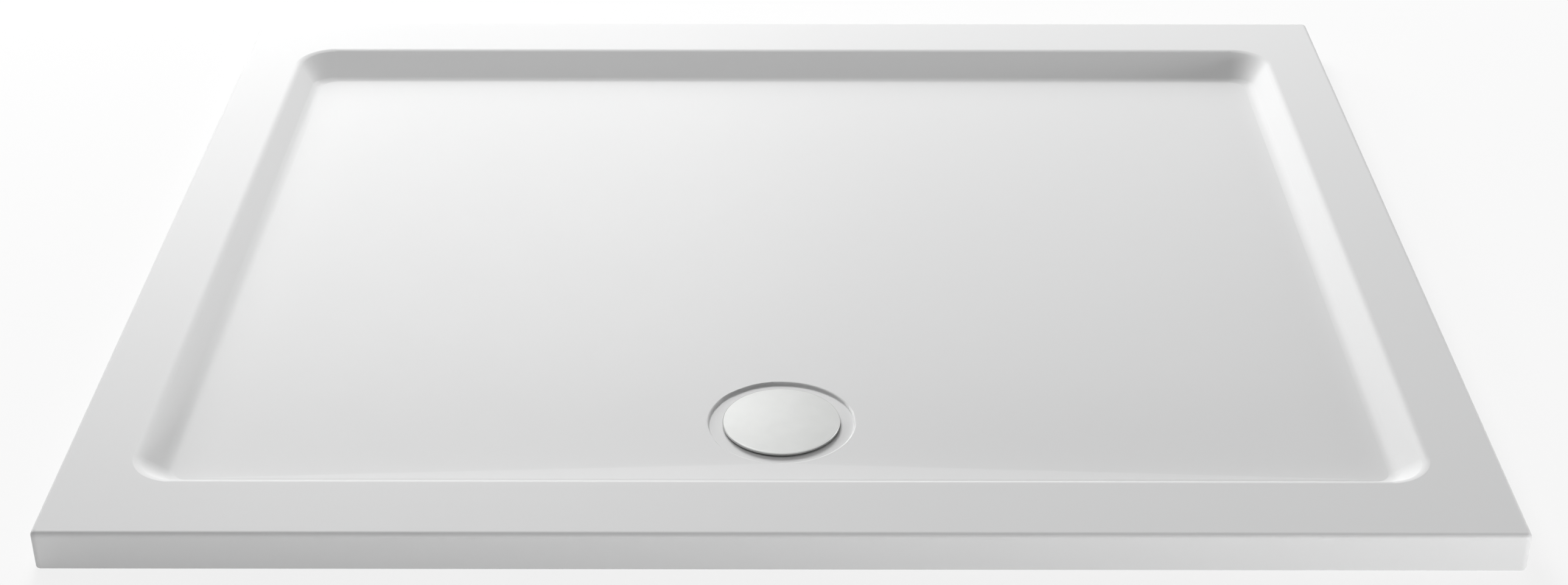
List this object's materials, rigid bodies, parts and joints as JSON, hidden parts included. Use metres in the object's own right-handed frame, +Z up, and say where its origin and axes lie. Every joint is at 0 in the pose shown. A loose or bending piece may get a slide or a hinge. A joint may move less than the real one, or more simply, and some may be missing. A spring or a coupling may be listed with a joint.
{
  "type": "shower tray",
  "caption": "Low rectangular shower tray with a sloped well, a round satin waste cover near the front edge and a trap with a swivel outlet below.",
  "frame": {"origin": "middle of the tray's flat underside, which is bedded on the floor; the trap hangs below it", "axes": "+X to the right along the tray's long side, +Y from the front edge with the waste towards the back, +Z up"},
  "size_m": [1.2, 1, 0.105],
  "materials": {
    "glossy_white": "gloss",
    "cast_filling": "matte",
    "satin_steel": "satin",
    "stainless_screw": "satin",
    "brass_insert": "satin",
    "moulded_grey": "satin",
    "moulded_white": "satin",
    "moulded_black": "satin",
    "black_rubber": "matte"
  },
  "bodies": {
    "tray": {"tray_shell": "glossy_white", "tray_core": "cast_filling", "waste_flange": "satin_steel", "flange_screws": "stainless_screw", "screw_inserts": "brass_insert", "flange_gasket": "black_rubber", "trap_gasket": "black_rubber", "trap_collar": "moulded_white", "trap_bowl": "moulded_white", "swivel_union_nut": "moulded_white"},
    "dip_tube": {"dip_tube": "moulded_grey", "dip_tube_oring": "black_rubber"},
    "strainer": {"hair_strainer": "moulded_black"},
    "cover": {"cover_plate": "satin_steel", "cover_carrier": "moulded_black", "cover_grip_ring": "black_rubber"},
    "elbow": {"swivel_elbow": "moulded_white", "swivel_seal": "black_rubber"},
    "pipe_seal": {"compression_washer": "black_rubber", "slip_ring": "moulded_grey"},
    "pipe_nut": {"compression_nut": "moulded_white"}
  },
  "joints": [
    {"name": "dip_tube_lift", "type": "slide", "parent": "tray", "child": "dip_tube", "axis": [0, 0, 1], "range_m": [0, 0.13]},
    {"name": "strainer_lift", "type": "slide", "parent": "dip_tube", "child": "strainer", "axis": [0, 0, 1], "range_m": [0, 0.08]},
    {"name": "cover_lift", "type": "slide", "parent": "strainer", "child": "cover", "axis": [0, 0, 1], "range_m": [0, 0.08]},
    {"name": "elbow_swivel", "type": "hinge", "parent": "tray", "child": "elbow", "pos_m": [0, -0.23, -0.035], "axis": [0, 1, 0], "range_deg": [0, 180]},
    {"name": "pipe_seal_slide", "type": "slide", "parent": "elbow", "child": "pipe_seal", "axis": [1, 0, 0], "range_m": [0, 0.006]},
    {"name": "pipe_nut_turn", "type": "hinge", "parent": "pipe_seal", "child": "pipe_nut", "pos_m": [0.063, -0.1986, -0.035], "axis": [1, 0, 0], "range_deg": [0, 720]}
  ],
  "couplings": [
    {"joint": "pipe_seal_slide", "follows": "pipe_nut_turn", "m_per_rad": 0.000477}
  ]
}
